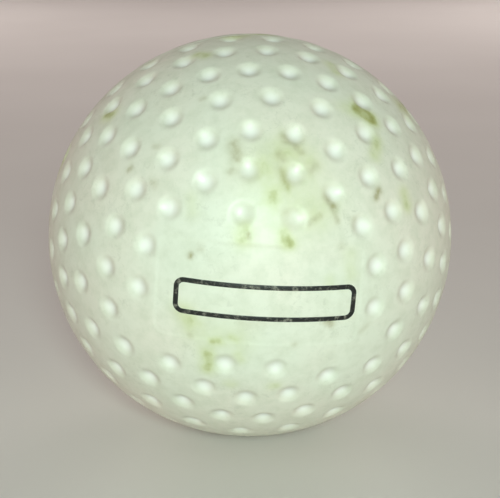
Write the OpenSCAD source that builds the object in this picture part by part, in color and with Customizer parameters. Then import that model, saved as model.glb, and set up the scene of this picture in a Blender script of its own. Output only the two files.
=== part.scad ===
// Field hockey ball: a dimpled plastic cover in two halves around a quilted cork and yarn core.
// The middle of the ball is the origin, the print panel faces -Y and +Z is up.
// The cover halves part on the XZ plane, and each half's mould pole lies on the Y axis.

/* [Ball] */
// Diameter of the ball, over the land between its dimples
ball_d = 73; // [71.3:0.1:74.8]

/* [Cover] */
// Wall of the cover, from the land down to the core
cover_t = 6; // [4.5:0.25:7.5]
// Height of the lip that centres one cover half in the other
lip_h = 2; // [1:0.25:4]
// Wall of the lip where it leaves the parting plane
lip_t = 2.5; // [1.5:0.25:3.5]
// Clearance around the lip in its rebate
lip_gap = 0.05; // [0.02:0.01:0.15]

/* [Dimples] */
// Diameter of a dimple at its rim
dimple_d = 3.8; // [3:0.1:5]
// Depth of a dimple below the land
dimple_depth = 0.75; // [0.3:0.05:1.2]
// Dimples in each ring, from the pole to the parting plane
ring_counts = [5, 10, 17, 22, 22, 31, 31, 31]; // [1:1:31]
// Turn of each ring's first dimple, in degrees clockwise from the top
ring_starts = [0, -11.5, -4.5, -2.5, 5, -1.5, 4, -5.5]; // [-36:0.5:36]
// Turn of the whole pattern on the back half, so that its dimples face the gaps in front
back_turn = 6; // [-12:0.5:12]

/* [Print panel] */
// Width of the smooth panel, as seen from the front
panel_w = 32.5; // [32:0.5:36]
// Height of the smooth panel, as seen from the front
panel_h = 16; // [10:0.5:18]
// Radius of the panel's corners
panel_corner_r = 1.5; // [0.5:0.25:4]
// Depth of the panel below the land
panel_depth = 0.1; // [0.05:0.01:0.2]
// Least distance from the panel's edge to the middle of a dimple
panel_margin = 1.6; // [1.2:0.1:3]
// Turn of the panel, in degrees clockwise
panel_turn = 4; // [-10:0.5:10]

/* [Print] */
// Width of the printed frame, over its lines
print_w = 29; // [12:0.5:30]
// Height of the printed frame, over its lines
print_h = 6; // [4:0.25:8]
// Radius of the printed frame's outer corners
print_corner_r = 1.6; // [1:0.1:2]
// Width of the printed line
print_line = 0.8; // [0.4:0.05:0.9]
// Depth that the hot stamp sets the ink into the panel
print_depth = 0.1; // [0.05:0.01:0.2]
// Clearance under the ink, for the film that bonds it
print_bond = 0.03; // [0.02:0.01:0.05]
// Place of the printed frame to the right of the panel's middle
print_right = 1; // [-1:0.25:1]
// Place of the printed frame below the panel's middle
print_drop = 1; // [-1:0.25:1]

/* [Core] */
// Diameter of the cork and rubber nucleus
nucleus_d = 30; // [24:0.5:34]
// Thickness of the yarn wound on the nucleus
inner_winding_t = 4; // [2:0.25:5]
// Wall of the two cork cups
cup_t = 5.5; // [3:0.25:6]

/* [Hidden] */
$fn = 120;
dimple_fn = 40;

// Radii of the layers, from the outside in: the outer winding fills what the cups leave
ball_r = ball_d / 2;
cover_in_r = ball_r - cover_t;
nucleus_r = nucleus_d / 2;
inner_winding_r = nucleus_r + inner_winding_t;
cup_r = inner_winding_r + cup_t;
lip_r = cover_in_r + lip_t;
panel_r = ball_r - panel_depth;
print_floor_r = panel_r - print_depth;

// Rings lie at even angles from the pole, and the last one is half a step from the parting plane
ring_step = 90 / (len(ring_counts) + 0.5);

// A dimple is a round hollow: its sphere goes through the rim and through the lowest point
rim_height = sqrt(pow(ball_r, 2) - pow(dimple_d / 2, 2));
hollow_depth = rim_height - (ball_r - dimple_depth);
hollow_r = (pow(dimple_d / 2, 2) + pow(hollow_depth, 2)) / (2 * hollow_depth);
hollow_place = ball_r - dimple_depth + hollow_r;

// Angle from the pole and turn from the top of every dimple of a full half
pole_dimple = [[0, 0]];
ring_dimples = [
    for (k = [0 : len(ring_counts) - 1])
        for (i = [0 : ring_counts[k] - 1])
            [(k + 1) * ring_step, ring_starts[k] + i * 360 / ring_counts[k]]
];
all_dimples = concat(pole_dimple, ring_dimples);

// Place of a dimple across and up the panel, which is turned about the pole
function across(d) = ball_r * sin(d[0]) * sin(d[1] - panel_turn);
function up(d) = ball_r * sin(d[0]) * cos(d[1] - panel_turn);
function on_panel(d) =
    abs(across(d)) < panel_w / 2 + panel_margin
    && abs(up(d)) < panel_h / 2 + panel_margin;

// The front half leaves out the dimples that would reach onto the panel
front_dimples = [for (d = all_dimples) if (!on_panel(d)) d];

// Mould frame of a half: its pole on +Z and the ball's top on +Y
module front_half() { rotate([90, 0, 0]) children(); }
module back_half() { rotate([0, 0, 180]) rotate([90, 0, 0]) children(); }

// Space on the +Z side of the parting plane, large enough for any half
module half_space() {
    translate([-ball_d, -ball_d, 0]) cube([2 * ball_d, 2 * ball_d, ball_d]);
}

module shell(outer_r, inner_r) {
    difference() {
        sphere(outer_r);
        sphere(inner_r);
    }
}

module half_shell(outer_r, inner_r) {
    intersection() {
        shell(outer_r, inner_r);
        half_space();
    }
}

module hollows(dimples) {
    for (d = dimples)
        rotate([0, 0, -d[1]])
            rotate([-d[0], 0, 0])
                translate([0, 0, hollow_place])
                    sphere(hollow_r, $fn = dimple_fn);
}

module rounded_rectangle(w, h, r) {
    square([w - 2 * r, h], center = true);
    square([w, h - 2 * r], center = true);
    for (x = [-1, 1], y = [-1, 1])
        translate([x * (w / 2 - r), y * (h / 2 - r)]) circle(r);
}

// Outline drawn on the front half, cut into the ball between two radii
module stamped(outer_r, inner_r) {
    intersection() {
        shell(outer_r, inner_r);
        rotate([0, 0, -panel_turn]) linear_extrude(ball_d) children();
    }
}

module print_outline() {
    translate([print_right, -print_drop]) difference() {
        rounded_rectangle(print_w, print_h, print_corner_r);
        rounded_rectangle(print_w - 2 * print_line, print_h - 2 * print_line, print_corner_r - print_line);
    }
}

// Recesses run out past the ball's surface
module panel_recess() {
    stamped(ball_d, panel_r) rounded_rectangle(panel_w, panel_h, panel_corner_r);
}

module print_recess() {
    stamped(ball_d, print_floor_r - print_bond) print_outline();
}

// Lip inside the wall, past the parting plane
module lip() {
    difference() {
        translate([0, 0, -lip_h]) cylinder(h = lip_h, r = lip_r);
        sphere(cover_in_r);
    }
}

module rebate() {
    cylinder(h = lip_h, r = lip_r + lip_gap);
}

module cover_front() {
    color("ivory") front_half() {
        difference() {
            half_shell(ball_r, cover_in_r);
            hollows(front_dimples);
            panel_recess();
            print_recess();
        }
        lip();
    }
}

module cover_back() {
    color("ivory") back_half() difference() {
        half_shell(ball_r, cover_in_r);
        rotate([0, 0, -back_turn]) hollows(all_dimples);
        rebate();
    }
}

module print_frame() {
    color("black") front_half() stamped(panel_r, print_floor_r) print_outline();
}

module outer_winding() {
    color("wheat") shell(cover_in_r, cup_r);
}

module cork_cup_upper() {
    color("peru") half_shell(cup_r, inner_winding_r);
}

module cork_cup_lower() {
    color("peru") mirror([0, 0, 1]) half_shell(cup_r, inner_winding_r);
}

module inner_winding() {
    color("wheat") shell(inner_winding_r, nucleus_r);
}

module core_nucleus() {
    color("sienna") sphere(nucleus_r);
}

cover_front();
cover_back();
print_frame();
outer_winding();
cork_cup_upper();
cork_cup_lower();
inner_winding();
core_nucleus();
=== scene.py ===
"""Looks of the field hockey ball: the dimpled cover, the printed frame and the core inside."""

import math

import bmesh
import bpy
import numpy as np
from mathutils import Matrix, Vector


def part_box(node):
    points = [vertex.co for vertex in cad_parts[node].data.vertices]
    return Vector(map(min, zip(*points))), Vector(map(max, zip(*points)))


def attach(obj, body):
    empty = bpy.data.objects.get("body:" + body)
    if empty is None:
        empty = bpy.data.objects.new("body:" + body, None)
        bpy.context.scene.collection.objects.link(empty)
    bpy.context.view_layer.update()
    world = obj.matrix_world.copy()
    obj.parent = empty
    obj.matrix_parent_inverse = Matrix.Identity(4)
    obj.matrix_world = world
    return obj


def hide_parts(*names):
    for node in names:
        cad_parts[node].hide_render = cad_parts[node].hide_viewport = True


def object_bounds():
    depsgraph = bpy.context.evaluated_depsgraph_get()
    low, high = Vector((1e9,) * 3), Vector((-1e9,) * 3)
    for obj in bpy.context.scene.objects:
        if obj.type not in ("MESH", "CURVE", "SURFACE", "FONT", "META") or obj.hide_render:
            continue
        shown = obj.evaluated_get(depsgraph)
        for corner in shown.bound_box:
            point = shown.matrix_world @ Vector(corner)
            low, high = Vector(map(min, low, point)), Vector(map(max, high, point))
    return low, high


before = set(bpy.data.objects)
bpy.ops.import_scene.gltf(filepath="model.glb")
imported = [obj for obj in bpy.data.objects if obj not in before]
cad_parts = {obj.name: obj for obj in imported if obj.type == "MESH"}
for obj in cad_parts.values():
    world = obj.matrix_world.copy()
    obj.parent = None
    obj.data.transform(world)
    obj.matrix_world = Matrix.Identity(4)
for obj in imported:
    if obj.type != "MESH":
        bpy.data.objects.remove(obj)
cad_low, cad_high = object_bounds()

MM = 0.001

# Sizes that the frame gives
BALL_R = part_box("cover_back")[1].z
CORE_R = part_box("outer_winding")[1].z

# Sizes that the solids have, repeated here in metres and degrees
LIP_H = 2.0 * MM
LIP_T = 2.5 * MM
LIP_GAP = 0.05 * MM
DIMPLE_R = 1.9 * MM
DIMPLE_DEPTH = 0.75 * MM
RING_COUNTS = [5, 10, 17, 22, 22, 31, 31, 31]
RING_STARTS = [0, -11.5, -4.5, -2.5, 5, -1.5, 4, -5.5]
BACK_TURN = 6
PANEL_W = 32.5 * MM
PANEL_H = 16 * MM
PANEL_CORNER_R = 1.5 * MM
PANEL_DEPTH = 0.1 * MM
PANEL_MARGIN = 1.6 * MM
PANEL_TURN = 4
PRINT_W = 29 * MM
PRINT_H = 6 * MM
PRINT_CORNER_R = 1.6 * MM
PRINT_LINE = 0.8 * MM
PRINT_DEPTH = 0.1 * MM
PRINT_RIGHT = 1.0 * MM
PRINT_DROP = 1.0 * MM

# Forms that only the looks have: soft rims and edges, the groove at the parting line and the raised ink
RIM_REACH = 0.5 * MM
BOWL_SOFTNESS = 2
PANEL_EDGE = 0.25 * MM
SEAM_DEPTH = 0.07 * MM
SEAM_WIDTH = 0.3 * MM
INK_PROUD = 0.03 * MM
INK_ROUND = 0.12

# Place on the front half where play has worn the dimples shallow
WORN_POLAR = 20
WORN_TURN = 7
WORN_REACH = 7 * MM
WORN_SHARE = 0.6

# Steps of the meshes, over the skin, the inside and the printed frame
SKIN_STEPS = 192
INSIDE_STEPS = 12
CORNER_STEPS = 8
LONG_SIDE_STEPS = 48
SHORT_SIDE_STEPS = 8

# Degrees above the parting plane where the inside has its last ring, before it closes at the pole
INSIDE_END = 88

# Digits that points of the unit ball share if they are one, and their height if they lie on the edge
SAME_POINT_DIGITS = 6
EDGE_TOLERANCE = 1e-6

# Mould frames: the pole of a half on +Z and the top of the ball on +Y
FRONT = np.array([[1, 0, 0], [0, 0, -1], [0, 1, 0]], float)
BACK = np.array([[-1, 0, 0], [0, 0, 1], [0, 1, 0]], float)

# Marks on the front half, each a soft stroke between two places.
# A place is degrees off the pole and clockwise from the top; then come the radius in mm and the strength.
GRASS_MARKS = [
    # Broad smears above the panel
    (33, 5, 21, 8, 4.2, 0.22), (31, 20, 26, 29, 3.6, 0.20), (30, 38, 24, 37, 1.6, 0.18),
    (37, 22, 37, 9, 1.3, 0.25), (41, 16, 41, 10, 0.9, 0.25),
    # Streaks in those smears
    (17, 20, 15, 28, 0.6, 0.45), (15, 25, 15, 29, 0.8, 0.65), (17, -13, 15, -16, 1.1, 0.60),
    (26, 8, 24, 7, 0.9, 0.40), (33, 1, 31, 2, 1.1, 0.30), (32, 12, 28, 15, 0.6, 0.35),
    (30, -35, 27, -39, 0.9, 0.20),
    # Spots at the upper right and the right
    (59, 33, 59, 38, 1.2, 0.70), (59, 35, 59, 38, 0.8, 0.60), (61, 32, 60, 34, 1.1, 0.40),
    (57, 28, 57, 31, 1.1, 0.30), (54, 42, 49, 44, 0.9, 0.60), (49, 61, 48, 65, 1.0, 0.55),
    # Spots near the outline of the ball
    (72, -45, 70, -44, 1.1, 0.75), (76, -15, 74, -13, 0.9, 0.65), (74, 22, 71, 24, 0.9, 0.55),
    # Smears beside and below the print
    (18, -124, 13, -153, 2.2, 0.25), (20, -103, 19, -112, 1.2, 0.50), (21, -141, 25, -148, 1.0, 0.65),
    (17, -136, 16, -140, 0.6, 0.45), (13, -147, 13, -152, 0.5, 0.40), (17, -162, 18, -165, 0.7, 0.35),
    (27, 173, 27, 170, 0.7, 0.40), (27, -163, 27, -165, 0.7, 0.30), (25, 69, 24, 80, 1.1, 0.25),
    (18, 79, 18, 81, 0.7, 0.30),
]
SOIL_MARKS = [
    # Scuffs above the panel
    (39, -9, 35, -9, 0.8, 0.55), (36, 9, 35, 10, 0.6, 0.45), (41, 10, 40, 11, 0.6, 0.40),
    (39, 15, 38, 18, 0.5, 0.45), (32, -12, 32, -13, 0.5, 0.40), (36, 25, 34, 24, 0.6, 0.30),
    (32, 10, 28, 15, 0.6, 0.30), (22, 35, 25, 38, 0.4, 0.50), (30, 36, 29, 41, 0.5, 0.50),
    (29, 41, 27, 48, 0.4, 0.45), (24, 60, 24, 61, 0.5, 0.30), (31, 54, 30, 57, 0.5, 0.25),
    (22, 16, 22, 17, 0.5, 0.25), (16, -10, 15, -10, 0.3, 0.70),
    # Dark specks
    (19, -52, 19, -51, 0.5, 0.40), (20, -59, 20, -60, 0.4, 0.90), (42, 53, 40, 54, 0.5, 0.85),
    (48, -49, 48, -48, 0.4, 0.70), (40, -45, 39, -45, 0.5, 0.35), (55, -17, 55, -16, 0.4, 0.40),
    (48, -37, 47, -36, 0.4, 0.30),
    # Specks below the print
    (19, 114, 20, 115, 0.5, 0.85), (16, 146, 16, 147, 0.4, 0.35), (21, -122, 21, -123, 0.4, 0.35),
    (30, 114, 31, 111, 0.5, 0.25), (8, -148, 7, 176, 0.7, 0.15),
]

# Spread of a stroke's soft edge, in radii of the stroke
SMUDGE = 1.35

# Scattered marks for the rest of the ball: how many of each kind, and the largest radius in mm
LOOSE_SEED = 11
FRONT_LOOSE_GRASS = (3, 2.0)
FRONT_LOOSE_SPECKS = (8, 0.7)
BACK_LOOSE_GRASS = (26, 3.0)
BACK_LOOSE_SPECKS = (60, 0.8)

# Spread between the ends of a scattered mark in degrees, and the ranges of its size and strength
LOOSE_SPREAD_POLAR = 2
LOOSE_SPREAD_TURN = 3
LOOSE_SIZE = (0.3, 1)
LOOSE_STRENGTH = (0.2, 0.7)

# Degrees around the front pole that stay free of scattered marks
FRONT_CLEAR = 80

# Colours of the cover, the ink, the core and the floor
LAND_COOL = (0.78, 0.78, 0.67)
LAND_WARM = (0.82, 0.77, 0.67)
LAND_GRIME = (0.60, 0.61, 0.48)
SCUFF = (0.53, 0.52, 0.42)
# Lighter colour of the dimples: partly cleaner plastic, partly a painted highlight of the key light in the
# hollows
DIMPLE_CLEAN_AND_HIGHLIGHT = (0.93, 0.91, 0.86)
GRASS_PALE = (0.59, 0.62, 0.30)
GRASS_DARK = (0.25, 0.24, 0.02)
SOIL = (0.285, 0.23, 0.06)
INK = (0.012, 0.012, 0.011)
INK_WORN = (0.445, 0.415, 0.34)
YARN_SHADE = (0.46, 0.38, 0.26)
YARN_LIGHT = (0.78, 0.70, 0.55)
CORK_SHADE = (0.42, 0.26, 0.14)
CORK_LIGHT = (0.66, 0.46, 0.28)
NUCLEUS_SHADE = (0.16, 0.09, 0.06)
NUCLEUS_LIGHT = (0.30, 0.19, 0.12)
FLOOR_SHADE = (0.72, 0.66, 0.64)
FLOOR_LIGHT = (0.75, 0.69, 0.67)

# Brightness of the dark specks in cork, as a share of its shade
SPECK_SHARE = 0.4

# Shares of a dimple's depth between which its lighter colour sets in, partly cleaner plastic and partly a
# painted highlight
CLEAN_AND_HIGHLIGHT_FROM = 0.3
CLEAN_AND_HIGHLIGHT_TO = 1.0

# Shares of a dimple's depth between which grass gets fainter and the plastic glossier
BOWL_FROM = 0.05
BOWL_TO = 0.7

# Directions of the crossing bands of yarn, and their scale
YARN_BANDS = (("X", 0.32), ("DIAGONAL", 0.28))

# Camera at the photograph's viewing angle, in a picture of 500 by 498 pixels
VIEW_AZIMUTH = math.radians(-2.5)
VIEW_ELEVATION = math.radians(15.43)
VIEW_DISTANCE = 6.26 * BALL_R
IMAGE_W = 500
IMAGE_H = 498
SENSOR = 36.0
CLIP_START = 0.01

# Middle of the ball and radius of its outline in that picture, in pixels
BALL_PIXEL = (249.9, 235.2)
OUTLINE_PIXELS = 201.4

# Soft studio light, in metres and watts: places are from the middle of the ball.
# The key stands close to the camera, so that the dimples read as in the photograph.
KEY_RISE = math.radians(5)
KEY_SIDE = math.radians(4)
KEY_DISTANCE = 0.6
KEY_SIZE = 0.16
KEY_POWER = 2.9
KEY_TINT = (0.755, 1.0, 0.90)
TOP_PLACE = (0, 0.05, 1.0)
TOP_SIZE = 0.8
TOP_POWER = 0.35
TOP_TINT = (1.0, 0.90, 0.85)
FILL_PLACE = (0.5, 0.85, 0.35)
FILL_SIZE = 0.6
FILL_POWER = 2.8
FILL_TINT = (1.0, 0.96, 0.91)
SIDE_PLACE = (1.75, -0.5, 0.12)
SIDE_SIZE = 1.25
SIDE_POWER = 5.4
SIDE_TINT = (1.0, 0.64, 0.58)
SKY_TINT = (1.0, 0.86, 0.83)
SKY_STRENGTH = 0.14
FLOOR_HALF = 3.0


def direction(polar, turn):
    """Unit vector in a mould frame, from degrees off the pole and degrees clockwise from the top."""
    lean = math.radians(polar)
    way = math.radians(turn)
    return np.array([math.sin(lean) * math.sin(way), math.sin(lean) * math.cos(way), math.cos(lean)])


def panel_place(points):
    """Places across and up the panel, which is turned about the pole."""
    turn = math.radians(PANEL_TURN)
    across = points[:, 0] * math.cos(turn) - points[:, 1] * math.sin(turn)
    up = points[:, 0] * math.sin(turn) + points[:, 1] * math.cos(turn)
    return across, up


def dimple_centres(turn):
    """Middles of all the dimples of one half, as unit vectors."""
    # Rings lie at even angles from the pole, and the last one is half a step from the parting plane
    step = 90 / (len(RING_COUNTS) + 0.5)
    centres = [direction(0, 0)]
    for ring, (count, start) in enumerate(zip(RING_COUNTS, RING_STARTS)):
        for i in range(count):
            centres.append(direction((ring + 1) * step, start + turn + i * 360 / count))
    return np.array(centres)


def clear_of_panel(centres):
    """The dimples that don't reach onto the print panel."""
    across, up = panel_place(centres * BALL_R)
    inside = np.abs(across) < PANEL_W / 2 + PANEL_MARGIN
    inside &= np.abs(up) < PANEL_H / 2 + PANEL_MARGIN
    return centres[~inside]


def nearest_arc(points, centres):
    """Distance along the ball from each point to the nearest centre."""
    closest = np.full(len(points), -1.0)
    for centre in centres:
        closest = np.maximum(closest, points @ centre)
    return BALL_R * np.arccos(np.clip(closest, -1, 1))


def bowl_depth(points, centres):
    """Depth of the round hollows, whose rims run out softly into the land."""
    share = np.clip(nearest_arc(points, centres) / (DIMPLE_R + RIM_REACH), 0, 1)
    return DIMPLE_DEPTH * (1 - share ** 2) ** BOWL_SOFTNESS


def wear(points):
    """Share of their depth that the dimples keep around the worn place."""
    arc = nearest_arc(points, [direction(WORN_POLAR, WORN_TURN)])
    return 1 - WORN_SHARE * np.exp(-((arc / WORN_REACH) ** 2))


def panel_sink(points):
    """Depth of the smooth panel, with a soft edge."""
    across, up = panel_place(points * BALL_R)
    over_x = np.abs(across) - PANEL_W / 2 + PANEL_CORNER_R
    over_y = np.abs(up) - PANEL_H / 2 + PANEL_CORNER_R
    outside = np.hypot(np.maximum(over_x, 0), np.maximum(over_y, 0))
    distance = outside + np.minimum(np.maximum(over_x, over_y), 0) - PANEL_CORNER_R
    share = np.clip(0.5 - distance / (2 * PANEL_EDGE), 0, 1)
    return PANEL_DEPTH * share * share * (3 - 2 * share)


def seam_sink(points):
    """Depth of the fine groove along the parting line."""
    return SEAM_DEPTH * np.exp(-((points[:, 2] * BALL_R / SEAM_WIDTH) ** 2))


def half_grid(steps):
    """Unit vectors and quads of an even grid over a half ball, from the top and upper sides of a cube."""
    angles = np.linspace(-math.pi / 4, math.pi / 4, steps + 1)
    upper = angles[steps // 2:]
    across, up = np.meshgrid(np.tan(angles), np.tan(angles), indexing="ij")
    patches = [np.stack([across, up, np.ones_like(across)], -1)]
    across, up = np.meshgrid(np.tan(angles), np.tan(upper), indexing="ij")
    side = np.stack([np.ones_like(across), across, up], -1)
    # The four sides follow each other by quarter turns
    for _ in range(4):
        patches.append(side)
        side = np.stack([-side[..., 1], side[..., 0], side[..., 2]], -1)
    points = []
    quads = []
    for patch in patches:
        rows, columns = patch.shape[:2]
        number = np.arange(rows * columns).reshape(rows, columns) + sum(len(p) for p in points)
        points.append(patch.reshape(-1, 3))
        corners = (number[:-1, :-1], number[1:, :-1], number[1:, 1:], number[:-1, 1:])
        quads.append(np.stack([corner.ravel() for corner in corners], -1))
    points = np.concatenate(points)
    points /= np.linalg.norm(points, axis=1)[:, None]
    rounded = np.round(points, SAME_POINT_DIGITS)
    _, first, same = np.unique(rounded, axis=0, return_index=True, return_inverse=True)
    return points[first], same.ravel()[np.concatenate(quads)]


def inside_profile(has_lip):
    """Radius and height of the inside of a cover half, from the parting line to near the pole."""
    gap = 0 if has_lip else LIP_GAP
    end = -LIP_H if has_lip else LIP_H
    wall = CORE_R + LIP_T + gap
    start = math.degrees(math.asin(end / CORE_R))
    profile = [(wall, 0), (wall, end)]
    for angle in np.radians(np.linspace(start, INSIDE_END, INSIDE_STEPS + 1)):
        profile.append((CORE_R * math.cos(angle), CORE_R * math.sin(angle)))
    return profile


def inside_of_half(skin, has_lip):
    """Points and faces of the joint and the inside of a cover half, which start at the edge of its skin."""
    rim = np.flatnonzero(np.abs(skin[:, 2]) < EDGE_TOLERANCE)
    rim = rim[np.argsort(np.arctan2(skin[rim, 1], skin[rim, 0]))]
    around = skin[rim, :2]
    ring = rim
    total = len(skin)
    points = []
    faces = []
    for radius, height in inside_profile(has_lip):
        points.append(np.column_stack([around * radius, np.full(len(rim), height)]))
        new_ring = np.arange(total, total + len(rim))
        total += len(rim)
        faces += np.stack([ring, np.roll(ring, -1), np.roll(new_ring, -1), new_ring], -1).tolist()
        ring = new_ring
    points.append(np.array([[0, 0, CORE_R]]))
    faces += np.stack([ring, np.roll(ring, -1), np.full(len(rim), total)], -1).tolist()
    return np.concatenate(points), faces


def marks(points, strokes):
    """Strength of the soft strokes at each point."""
    total = np.zeros(len(points))
    for polar_a, turn_a, polar_b, turn_b, radius, strength in strokes:
        start = direction(polar_a, turn_a)
        way = direction(polar_b, turn_b) - start
        share = np.clip((points - start) @ way / (way @ way), 0, 1)
        gap = BALL_R * np.linalg.norm(points - start - share[:, None] * way, axis=1)
        total += strength * np.exp(-((gap / (SMUDGE * radius * MM)) ** 2))
    return np.clip(total, 0, 1)


def loose_marks(rng, count, largest, keep_front_clear):
    """Scattered strokes for the sides that have no marks of their own."""
    clear_height = math.cos(math.radians(FRONT_CLEAR))
    strokes = []
    while len(strokes) < count:
        height = rng.uniform(0, 1)
        turn = rng.uniform(-180, 180)
        spread_polar = rng.normal(0, LOOSE_SPREAD_POLAR)
        spread_turn = rng.normal(0, LOOSE_SPREAD_TURN)
        radius = rng.uniform(*LOOSE_SIZE) * largest
        strength = rng.uniform(*LOOSE_STRENGTH)
        if keep_front_clear and height > clear_height:
            continue
        polar = math.degrees(math.acos(height))
        strokes.append((polar, turn, polar + spread_polar, turn + spread_turn, radius, strength))
    return strokes


def mesh_piece(name, places, faces):
    """A new object with its faces turned outwards."""
    mesh = bpy.data.meshes.new(name)
    mesh.from_pydata(places.tolist(), [], faces)
    edit = bmesh.new()
    edit.from_mesh(mesh)
    bmesh.ops.recalc_face_normals(edit, faces=edit.faces)
    edit.to_mesh(mesh)
    edit.free()
    piece = bpy.data.objects.new(name, mesh)
    bpy.context.scene.collection.objects.link(piece)
    return piece


def store(piece, name, values):
    """Keeps one number for each vertex under a name that a material can read."""
    layer = piece.data.attributes.new(name, "FLOAT", "POINT")
    layer.data.foreach_set("value", values.astype(np.float32))


def cover_half(name, mould, centres, grass, specks, is_front):
    """One half of the cover; the front one has the panel, the worn dimples and the lip of the joint."""
    skin, quads = half_grid(SKIN_STEPS)
    bowls = bowl_depth(skin, centres)
    depth = seam_sink(skin)
    if is_front:
        bowls *= wear(skin)
        depth += panel_sink(skin)
    outside = skin * (BALL_R - depth - bowls)[:, None]
    inside, inside_faces = inside_of_half(skin, has_lip=is_front)
    faces = quads.tolist() + inside_faces
    piece = mesh_piece(name, np.concatenate([outside, inside]) @ mould.T, faces)
    piece.data.polygons.foreach_set("use_smooth", np.arange(len(faces)) < len(quads))
    unmarked = np.zeros(len(inside))
    store(piece, "sunk", np.concatenate([bowls / DIMPLE_DEPTH, unmarked]))
    store(piece, "grass", np.concatenate([marks(skin, grass), unmarked]))
    store(piece, "soil", np.concatenate([marks(skin, specks), unmarked]))
    return piece


def frame_path():
    """Centres and outward directions along the printed frame's line, corner by corner."""
    corner_x = PRINT_W / 2 - PRINT_CORNER_R
    corner_y = PRINT_H / 2 - PRINT_CORNER_R
    corners = [(corner_x, corner_y), (-corner_x, corner_y), (-corner_x, -corner_y), (corner_x, -corner_y)]
    path = []
    for i, (x, y) in enumerate(corners):
        for turn in np.radians(np.linspace(90 * i, 90 * (i + 1), CORNER_STEPS + 1)):
            path.append((x, y, math.cos(turn), math.sin(turn)))
        next_x, next_y = corners[(i + 1) % len(corners)]
        out = math.radians(90 * (i + 1))
        steps = LONG_SIDE_STEPS if i % 2 == 0 else SHORT_SIDE_STEPS
        for share in np.linspace(0, 1, steps + 1)[1:-1]:
            along_x = x + (next_x - x) * share
            along_y = y + (next_y - y) * share
            path.append((along_x, along_y, math.cos(out), math.sin(out)))
    return np.array(path)


def printed_frame(name):
    """The ink line as a thin closed band that stands a hair proud of the panel."""
    path = frame_path()
    panel_r = BALL_R - PANEL_DEPTH
    floor_r = panel_r - PRINT_DEPTH
    top_r = panel_r + INK_PROUD
    # Section of the line, from its outer edge over the top to its inner edge, and back underneath
    across = [0, INK_ROUND, 0.5, 1 - INK_ROUND, 1, 1, 0]
    level = [panel_r, top_r, top_r, top_r, panel_r, floor_r, floor_r]
    turn = math.radians(PANEL_TURN)
    rows = []
    for share, radius in zip(across, level):
        out = PRINT_CORNER_R - PRINT_LINE * share
        right = path[:, 0] + out * path[:, 2] + PRINT_RIGHT
        up = path[:, 1] + out * path[:, 3] - PRINT_DROP
        x = right * math.cos(turn) + up * math.sin(turn)
        y = up * math.cos(turn) - right * math.sin(turn)
        rows.append(np.column_stack([x, y, np.sqrt(radius ** 2 - x ** 2 - y ** 2)]))
    count = len(path)
    number = np.arange(len(rows) * count).reshape(len(rows), count)
    below = np.roll(number, -1, axis=0)
    faces = np.stack([number, np.roll(number, -1, 1), np.roll(below, -1, 1), below], -1).reshape(-1, 4)
    piece = mesh_piece(name, np.concatenate(rows) @ FRONT.T, faces.tolist())
    piece.data.polygons.foreach_set("use_smooth", np.full(len(faces), True))
    return piece


class Shader:
    """A material under construction, with short calls for its nodes."""

    # Numbers of the Mix node's colour sockets, whose names its other sockets share
    MIX_A = 6
    MIX_B = 7
    MIX_RESULT = 2

    def __init__(self, name):
        self.material = bpy.data.materials.new(name)
        self.material.use_nodes = True
        self.tree = self.material.node_tree
        self.surface = self.tree.nodes["Principled BSDF"]

    def node(self, kind, settings=None, **inputs):
        """A new node with its settings and inputs."""
        made = self.tree.nodes.new(kind)
        for key, value in (settings or {}).items():
            setattr(made, key, value)
        for key, value in inputs.items():
            self.feed(made.inputs[key.replace("_", " ")], value)
        return made

    def feed(self, socket, value):
        """Links a socket to another node's output, or gives it a fixed value."""
        if isinstance(value, bpy.types.NodeSocket):
            self.tree.links.new(value, socket)
        else:
            socket.default_value = value

    def set(self, name, value):
        """Feeds one input of the surface."""
        self.feed(self.surface.inputs[name], value)

    def place_mm(self):
        """Place on the object in millimetres."""
        place = self.node("ShaderNodeTexCoord").outputs["Object"]
        scaled = self.node("ShaderNodeVectorMath", {"operation": "SCALE"}, Vector=place, Scale=1 / MM)
        return scaled.outputs["Vector"]

    def noise(self, place, scale, detail=2.0, roughness=0.5, distortion=0.0):
        """Cloudy pattern between 0 and 1."""
        made = self.node(
            "ShaderNodeTexNoise",
            Vector=place, Scale=scale, Detail=detail, Roughness=roughness, Distortion=distortion,
        )
        return made.outputs["Fac"]

    def remap(self, value, low, high, to_low=0.0, to_high=1.0):
        """Value between low and high, brought to the other two limits."""
        made = self.node(
            "ShaderNodeMapRange",
            Value=value, From_Min=low, From_Max=high, To_Min=to_low, To_Max=to_high,
        )
        return made.outputs["Result"]

    def multiply(self, a, b):
        """Product of two values."""
        made = self.node("ShaderNodeMath", {"operation": "MULTIPLY"})
        self.feed(made.inputs[0], a)
        self.feed(made.inputs[1], b)
        return made.outputs["Value"]

    def mix(self, share, a, b):
        """Colour between two colours."""
        made = self.node("ShaderNodeMix", {"data_type": "RGBA"})
        self.feed(made.inputs["Factor"], share)
        self.feed(made.inputs[self.MIX_A], a)
        self.feed(made.inputs[self.MIX_B], b)
        return made.outputs[self.MIX_RESULT]

    def attribute(self, name):
        """Number that the mesh keeps for each vertex."""
        return self.node("ShaderNodeAttribute", {"attribute_name": name}).outputs["Fac"]

    def bump(self, height, strength, distance):
        """Fine relief of the surface."""
        made = self.node("ShaderNodeBump", Height=height, Strength=strength, Distance=distance)
        self.set("Normal", made.outputs["Normal"])


def rgba(colour):
    """Opaque colour for a socket."""
    return (*colour, 1.0)


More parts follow.
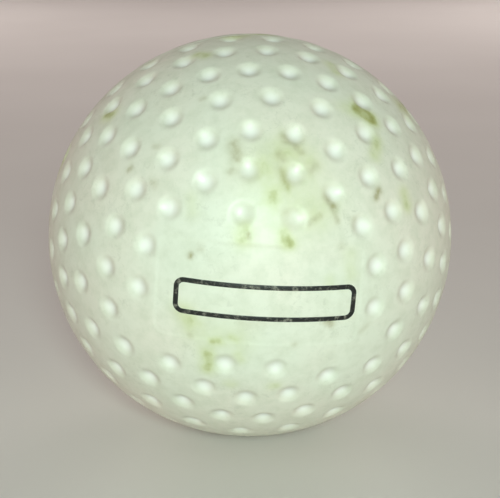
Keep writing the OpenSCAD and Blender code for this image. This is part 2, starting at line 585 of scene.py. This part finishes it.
def cover_material():
    """Old satin plastic: dull stained land, with glossier dimples painted lighter, partly as cleaner plastic
    and partly as a painted highlight.
    """
    shader = Shader("cover_plastic")
    place = shader.place_mm()
    sunk = shader.attribute("sunk")
    # Land, with soft grime and scuffs
    broad = shader.remap(shader.noise(place, scale=0.05, detail=3), low=0.35, high=0.65)
    base = shader.mix(broad, rgba(LAND_COOL), rgba(LAND_WARM))
    grime = shader.noise(place, scale=0.4, detail=5, roughness=0.6)
    mottle = shader.remap(grime, low=0.42, high=0.75, to_high=0.5)
    base = shader.mix(mottle, base, rgba(LAND_GRIME))
    scratches = shader.noise(place, scale=0.9, detail=6, roughness=0.7, distortion=0.6)
    scuff = shader.remap(scratches, low=0.52, high=0.75, to_high=0.55)
    patch = shader.remap(shader.noise(place, scale=0.12, detail=2), low=0.42, high=0.62)
    base = shader.mix(shader.multiply(scuff, patch), base, rgba(SCUFF))
    # Dimples painted lighter: partly cleaner plastic, partly a painted highlight of the key light in the
    # hollows
    clean_and_highlight = shader.remap(sunk, low=CLEAN_AND_HIGHLIGHT_FROM, high=CLEAN_AND_HIGHLIGHT_TO)
    base = shader.mix(clean_and_highlight, base, rgba(DIMPLE_CLEAN_AND_HIGHLIGHT))
    # Grass, which is fainter in the dimples
    clumps = shader.noise(place, scale=0.6, detail=2)
    patchy = shader.remap(clumps, low=0.3, high=0.7, to_low=0.7, to_high=1.15)
    kept = shader.remap(sunk, low=BOWL_FROM, high=BOWL_TO, to_low=1.0, to_high=0.35)
    grass = shader.multiply(shader.multiply(shader.attribute("grass"), patchy), kept)
    base = shader.mix(shader.remap(grass, low=0.0, high=0.7, to_high=0.75), base, rgba(GRASS_PALE))
    base = shader.mix(shader.remap(grass, low=0.5, high=1.2, to_high=0.95), base, rgba(GRASS_DARK))
    # Soil
    crumbs = shader.noise(place, scale=1.0, detail=2)
    grain = shader.remap(crumbs, low=0.35, high=0.65, to_low=0.6, to_high=1.1)
    soil = shader.multiply(shader.attribute("soil"), grain)
    base = shader.mix(shader.remap(soil, low=0.0, high=1.0, to_high=0.8), base, rgba(SOIL))
    shader.set("Base Color", base)
    # Gloss and fine relief
    rubbed = shader.noise(place, scale=2.4, detail=6, roughness=0.7, distortion=0.4)
    dull = shader.remap(rubbed, low=0.3, high=0.7, to_low=0.4, to_high=0.48)
    glossier = shader.remap(sunk, low=BOWL_FROM, high=BOWL_TO, to_low=1.0, to_high=0.85)
    shader.set("Roughness", shader.multiply(dull, glossier))
    relief = shader.noise(place, scale=1.1, detail=8, roughness=0.7)
    shader.bump(relief, strength=0.12, distance=0.05 * MM)
    return shader.material


def ink_material():
    """Black stamped ink that has worn thin in places."""
    shader = Shader("stamped_ink")
    place = shader.place_mm()
    rubbed = shader.noise(place, scale=0.9, detail=6, roughness=0.7)
    worn = shader.remap(rubbed, low=0.52, high=0.72, to_high=0.75)
    shader.set("Base Color", shader.mix(worn, rgba(INK), rgba(INK_WORN)))
    shader.set("Roughness", 0.45)
    shader.bump(shader.noise(place, scale=3.0, detail=4), strength=0.2, distance=0.03 * MM)
    return shader.material


def grained_material(name, shade, light, scale, roughness, relief):
    """Grainy inside material: pressed cork, or cork bound with rubber."""
    shader = Shader(name)
    place = shader.place_mm()
    cells = shader.node("ShaderNodeTexVoronoi", Vector=place, Scale=scale).outputs["Distance"]
    speck = shader.remap(shader.noise(place, scale=2.2, detail=5), low=0.4, high=0.7, to_high=0.4)
    base = shader.mix(shader.remap(cells, low=0.1, high=0.8), rgba(shade), rgba(light))
    base = shader.mix(speck, base, rgba([SPECK_SHARE * channel for channel in shade]))
    shader.set("Base Color", base)
    shader.set("Roughness", roughness)
    shader.bump(cells, strength=relief, distance=0.3 * MM)
    return shader.material


def yarn_material():
    """Wound yarn: crossing bands of fine threads."""
    shader = Shader("wound_yarn")
    place = shader.place_mm()
    threads = []
    for axis, scale in YARN_BANDS:
        bands = {"bands_direction": axis}
        wave = shader.node("ShaderNodeTexWave", bands, Vector=place, Scale=scale, Distortion=1.5)
        threads.append(wave.outputs["Fac"])
    lay = shader.remap(shader.noise(place, scale=0.12, detail=3), low=0.42, high=0.58)
    height = shader.mix(lay, threads[0], threads[1])
    shader.set("Base Color", shader.mix(height, rgba(YARN_SHADE), rgba(YARN_LIGHT)))
    shader.set("Roughness", 0.9)
    shader.set("Sheen Weight", 0.3)
    shader.bump(height, strength=0.6, distance=0.3 * MM)
    return shader.material


def floor_material():
    """Plain pale studio floor."""
    shader = Shader("studio_floor")
    clouds = shader.noise(shader.place_mm(), scale=0.01, detail=3)
    shade = shader.remap(clouds, low=0.3, high=0.7)
    shader.set("Base Color", shader.mix(shade, rgba(FLOOR_SHADE), rgba(FLOOR_LIGHT)))
    shader.set("Roughness", 0.7)
    return shader.material


def dress(node, material):
    """Gives a CAD node its finish."""
    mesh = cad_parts[node].data
    mesh.materials.clear()
    mesh.materials.append(material)


def stand_for(piece, node, material):
    """Puts a new piece in the place of a CAD node."""
    piece.data.materials.append(material)
    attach(piece, "root")
    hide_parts(node)


def view_direction(azimuth, elevation):
    """Unit vector from the ball, by the turn from the front and the rise above the floor."""
    level = math.cos(elevation)
    return Vector((math.sin(azimuth) * level, -math.cos(azimuth) * level, math.sin(elevation)))


def area_light(name, place, size, power, tint, shines):
    """A soft light that faces the ball and stays out of sight; one that doesn't shine leaves no highlight."""
    lamp = bpy.data.lights.new(name, "AREA")
    lamp.shape = "DISK"
    lamp.size = size
    lamp.energy = power
    lamp.color = tint
    holder = bpy.data.objects.new(name, lamp)
    holder.location = place
    holder.rotation_euler = (-Vector(place)).to_track_quat("-Z", "Y").to_euler()
    holder.visible_camera = False
    holder.visible_glossy = shines
    bpy.context.scene.collection.objects.link(holder)


# Cover and print
rng = np.random.RandomState(LOOSE_SEED)
front_grass = GRASS_MARKS + loose_marks(rng, *FRONT_LOOSE_GRASS, keep_front_clear=True)
front_specks = SOIL_MARKS + loose_marks(rng, *FRONT_LOOSE_SPECKS, keep_front_clear=True)
back_grass = loose_marks(rng, *BACK_LOOSE_GRASS, keep_front_clear=False)
back_specks = loose_marks(rng, *BACK_LOOSE_SPECKS, keep_front_clear=False)
front_dimples = clear_of_panel(dimple_centres(0))
back_dimples = dimple_centres(BACK_TURN)
front_cover = cover_half("front_cover_skin", FRONT, front_dimples, front_grass, front_specks, is_front=True)
back_cover = cover_half("back_cover_skin", BACK, back_dimples, back_grass, back_specks, is_front=False)
plastic = cover_material()
stand_for(front_cover, "cover_front", plastic)
stand_for(back_cover, "cover_back", plastic)
stand_for(printed_frame("printed_frame_ink"), "print_frame", ink_material())

# Core
yarn = yarn_material()
cork = grained_material("pressed_cork", CORK_SHADE, CORK_LIGHT, scale=0.6, roughness=0.85, relief=0.5)
bound_cork = grained_material(
    "cork_and_rubber", NUCLEUS_SHADE, NUCLEUS_LIGHT, scale=0.5, roughness=0.7, relief=0.4
)
dress("outer_winding", yarn)
dress("inner_winding", yarn)
dress("cork_cup_upper", cork)
dress("cork_cup_lower", cork)
dress("core_nucleus", bound_cork)

# Floor
floor_corners = [(-1, -1), (1, -1), (1, 1), (-1, 1)]
floor_mesh = bpy.data.meshes.new("floor")
floor_places = [(x * FLOOR_HALF, y * FLOOR_HALF, cad_low.z) for x, y in floor_corners]
floor_mesh.from_pydata(floor_places, [], [(0, 1, 2, 3)])
floor_mesh.materials.append(floor_material())
floor = bpy.data.objects.new("floor", floor_mesh)
bpy.context.scene.collection.objects.link(floor)

# Camera
focal_pixels = OUTLINE_PIXELS * math.sqrt((VIEW_DISTANCE / BALL_R) ** 2 - 1)
to_camera = view_direction(VIEW_AZIMUTH, VIEW_ELEVATION)
camera_data = bpy.data.cameras.new("camera")
camera_data.sensor_width = SENSOR
camera_data.lens = SENSOR * focal_pixels / IMAGE_W
camera_data.clip_start = CLIP_START
camera = bpy.data.objects.new("camera", camera_data)
bpy.context.scene.collection.objects.link(camera)
camera.location = to_camera * VIEW_DISTANCE
# The camera turns off the middle of the ball until that middle lies on its pixel
facing = (-to_camera).to_track_quat("-Z", "Y").to_matrix()
aside = (BALL_PIXEL[0] - IMAGE_W / 2) / focal_pixels
rise = (IMAGE_H / 2 - BALL_PIXEL[1]) / focal_pixels
aim = facing @ Vector((-aside, -rise, -1))
camera.rotation_euler = aim.to_track_quat("-Z", "Y").to_euler()
bpy.context.scene.camera = camera

# Lights
key_place = view_direction(VIEW_AZIMUTH + KEY_SIDE, VIEW_ELEVATION + KEY_RISE) * KEY_DISTANCE
area_light("key", key_place, KEY_SIZE, KEY_POWER, KEY_TINT, shines=True)
area_light("top", TOP_PLACE, TOP_SIZE, TOP_POWER, TOP_TINT, shines=True)
for hand in (-1, 1):
    mirrored = Vector((hand, 1, 1))
    area_light("fill", mirrored * Vector(FILL_PLACE), FILL_SIZE, FILL_POWER, FILL_TINT, shines=False)
    area_light("side", mirrored * Vector(SIDE_PLACE), SIDE_SIZE, SIDE_POWER, SIDE_TINT, shines=False)
world = bpy.data.worlds.new("studio")
world.use_nodes = True
sky = world.node_tree.nodes["Background"]
sky.inputs["Color"].default_value = rgba(SKY_TINT)
sky.inputs["Strength"].default_value = SKY_STRENGTH
bpy.context.scene.world = world
bpy.context.scene.view_settings.view_transform = "Standard"
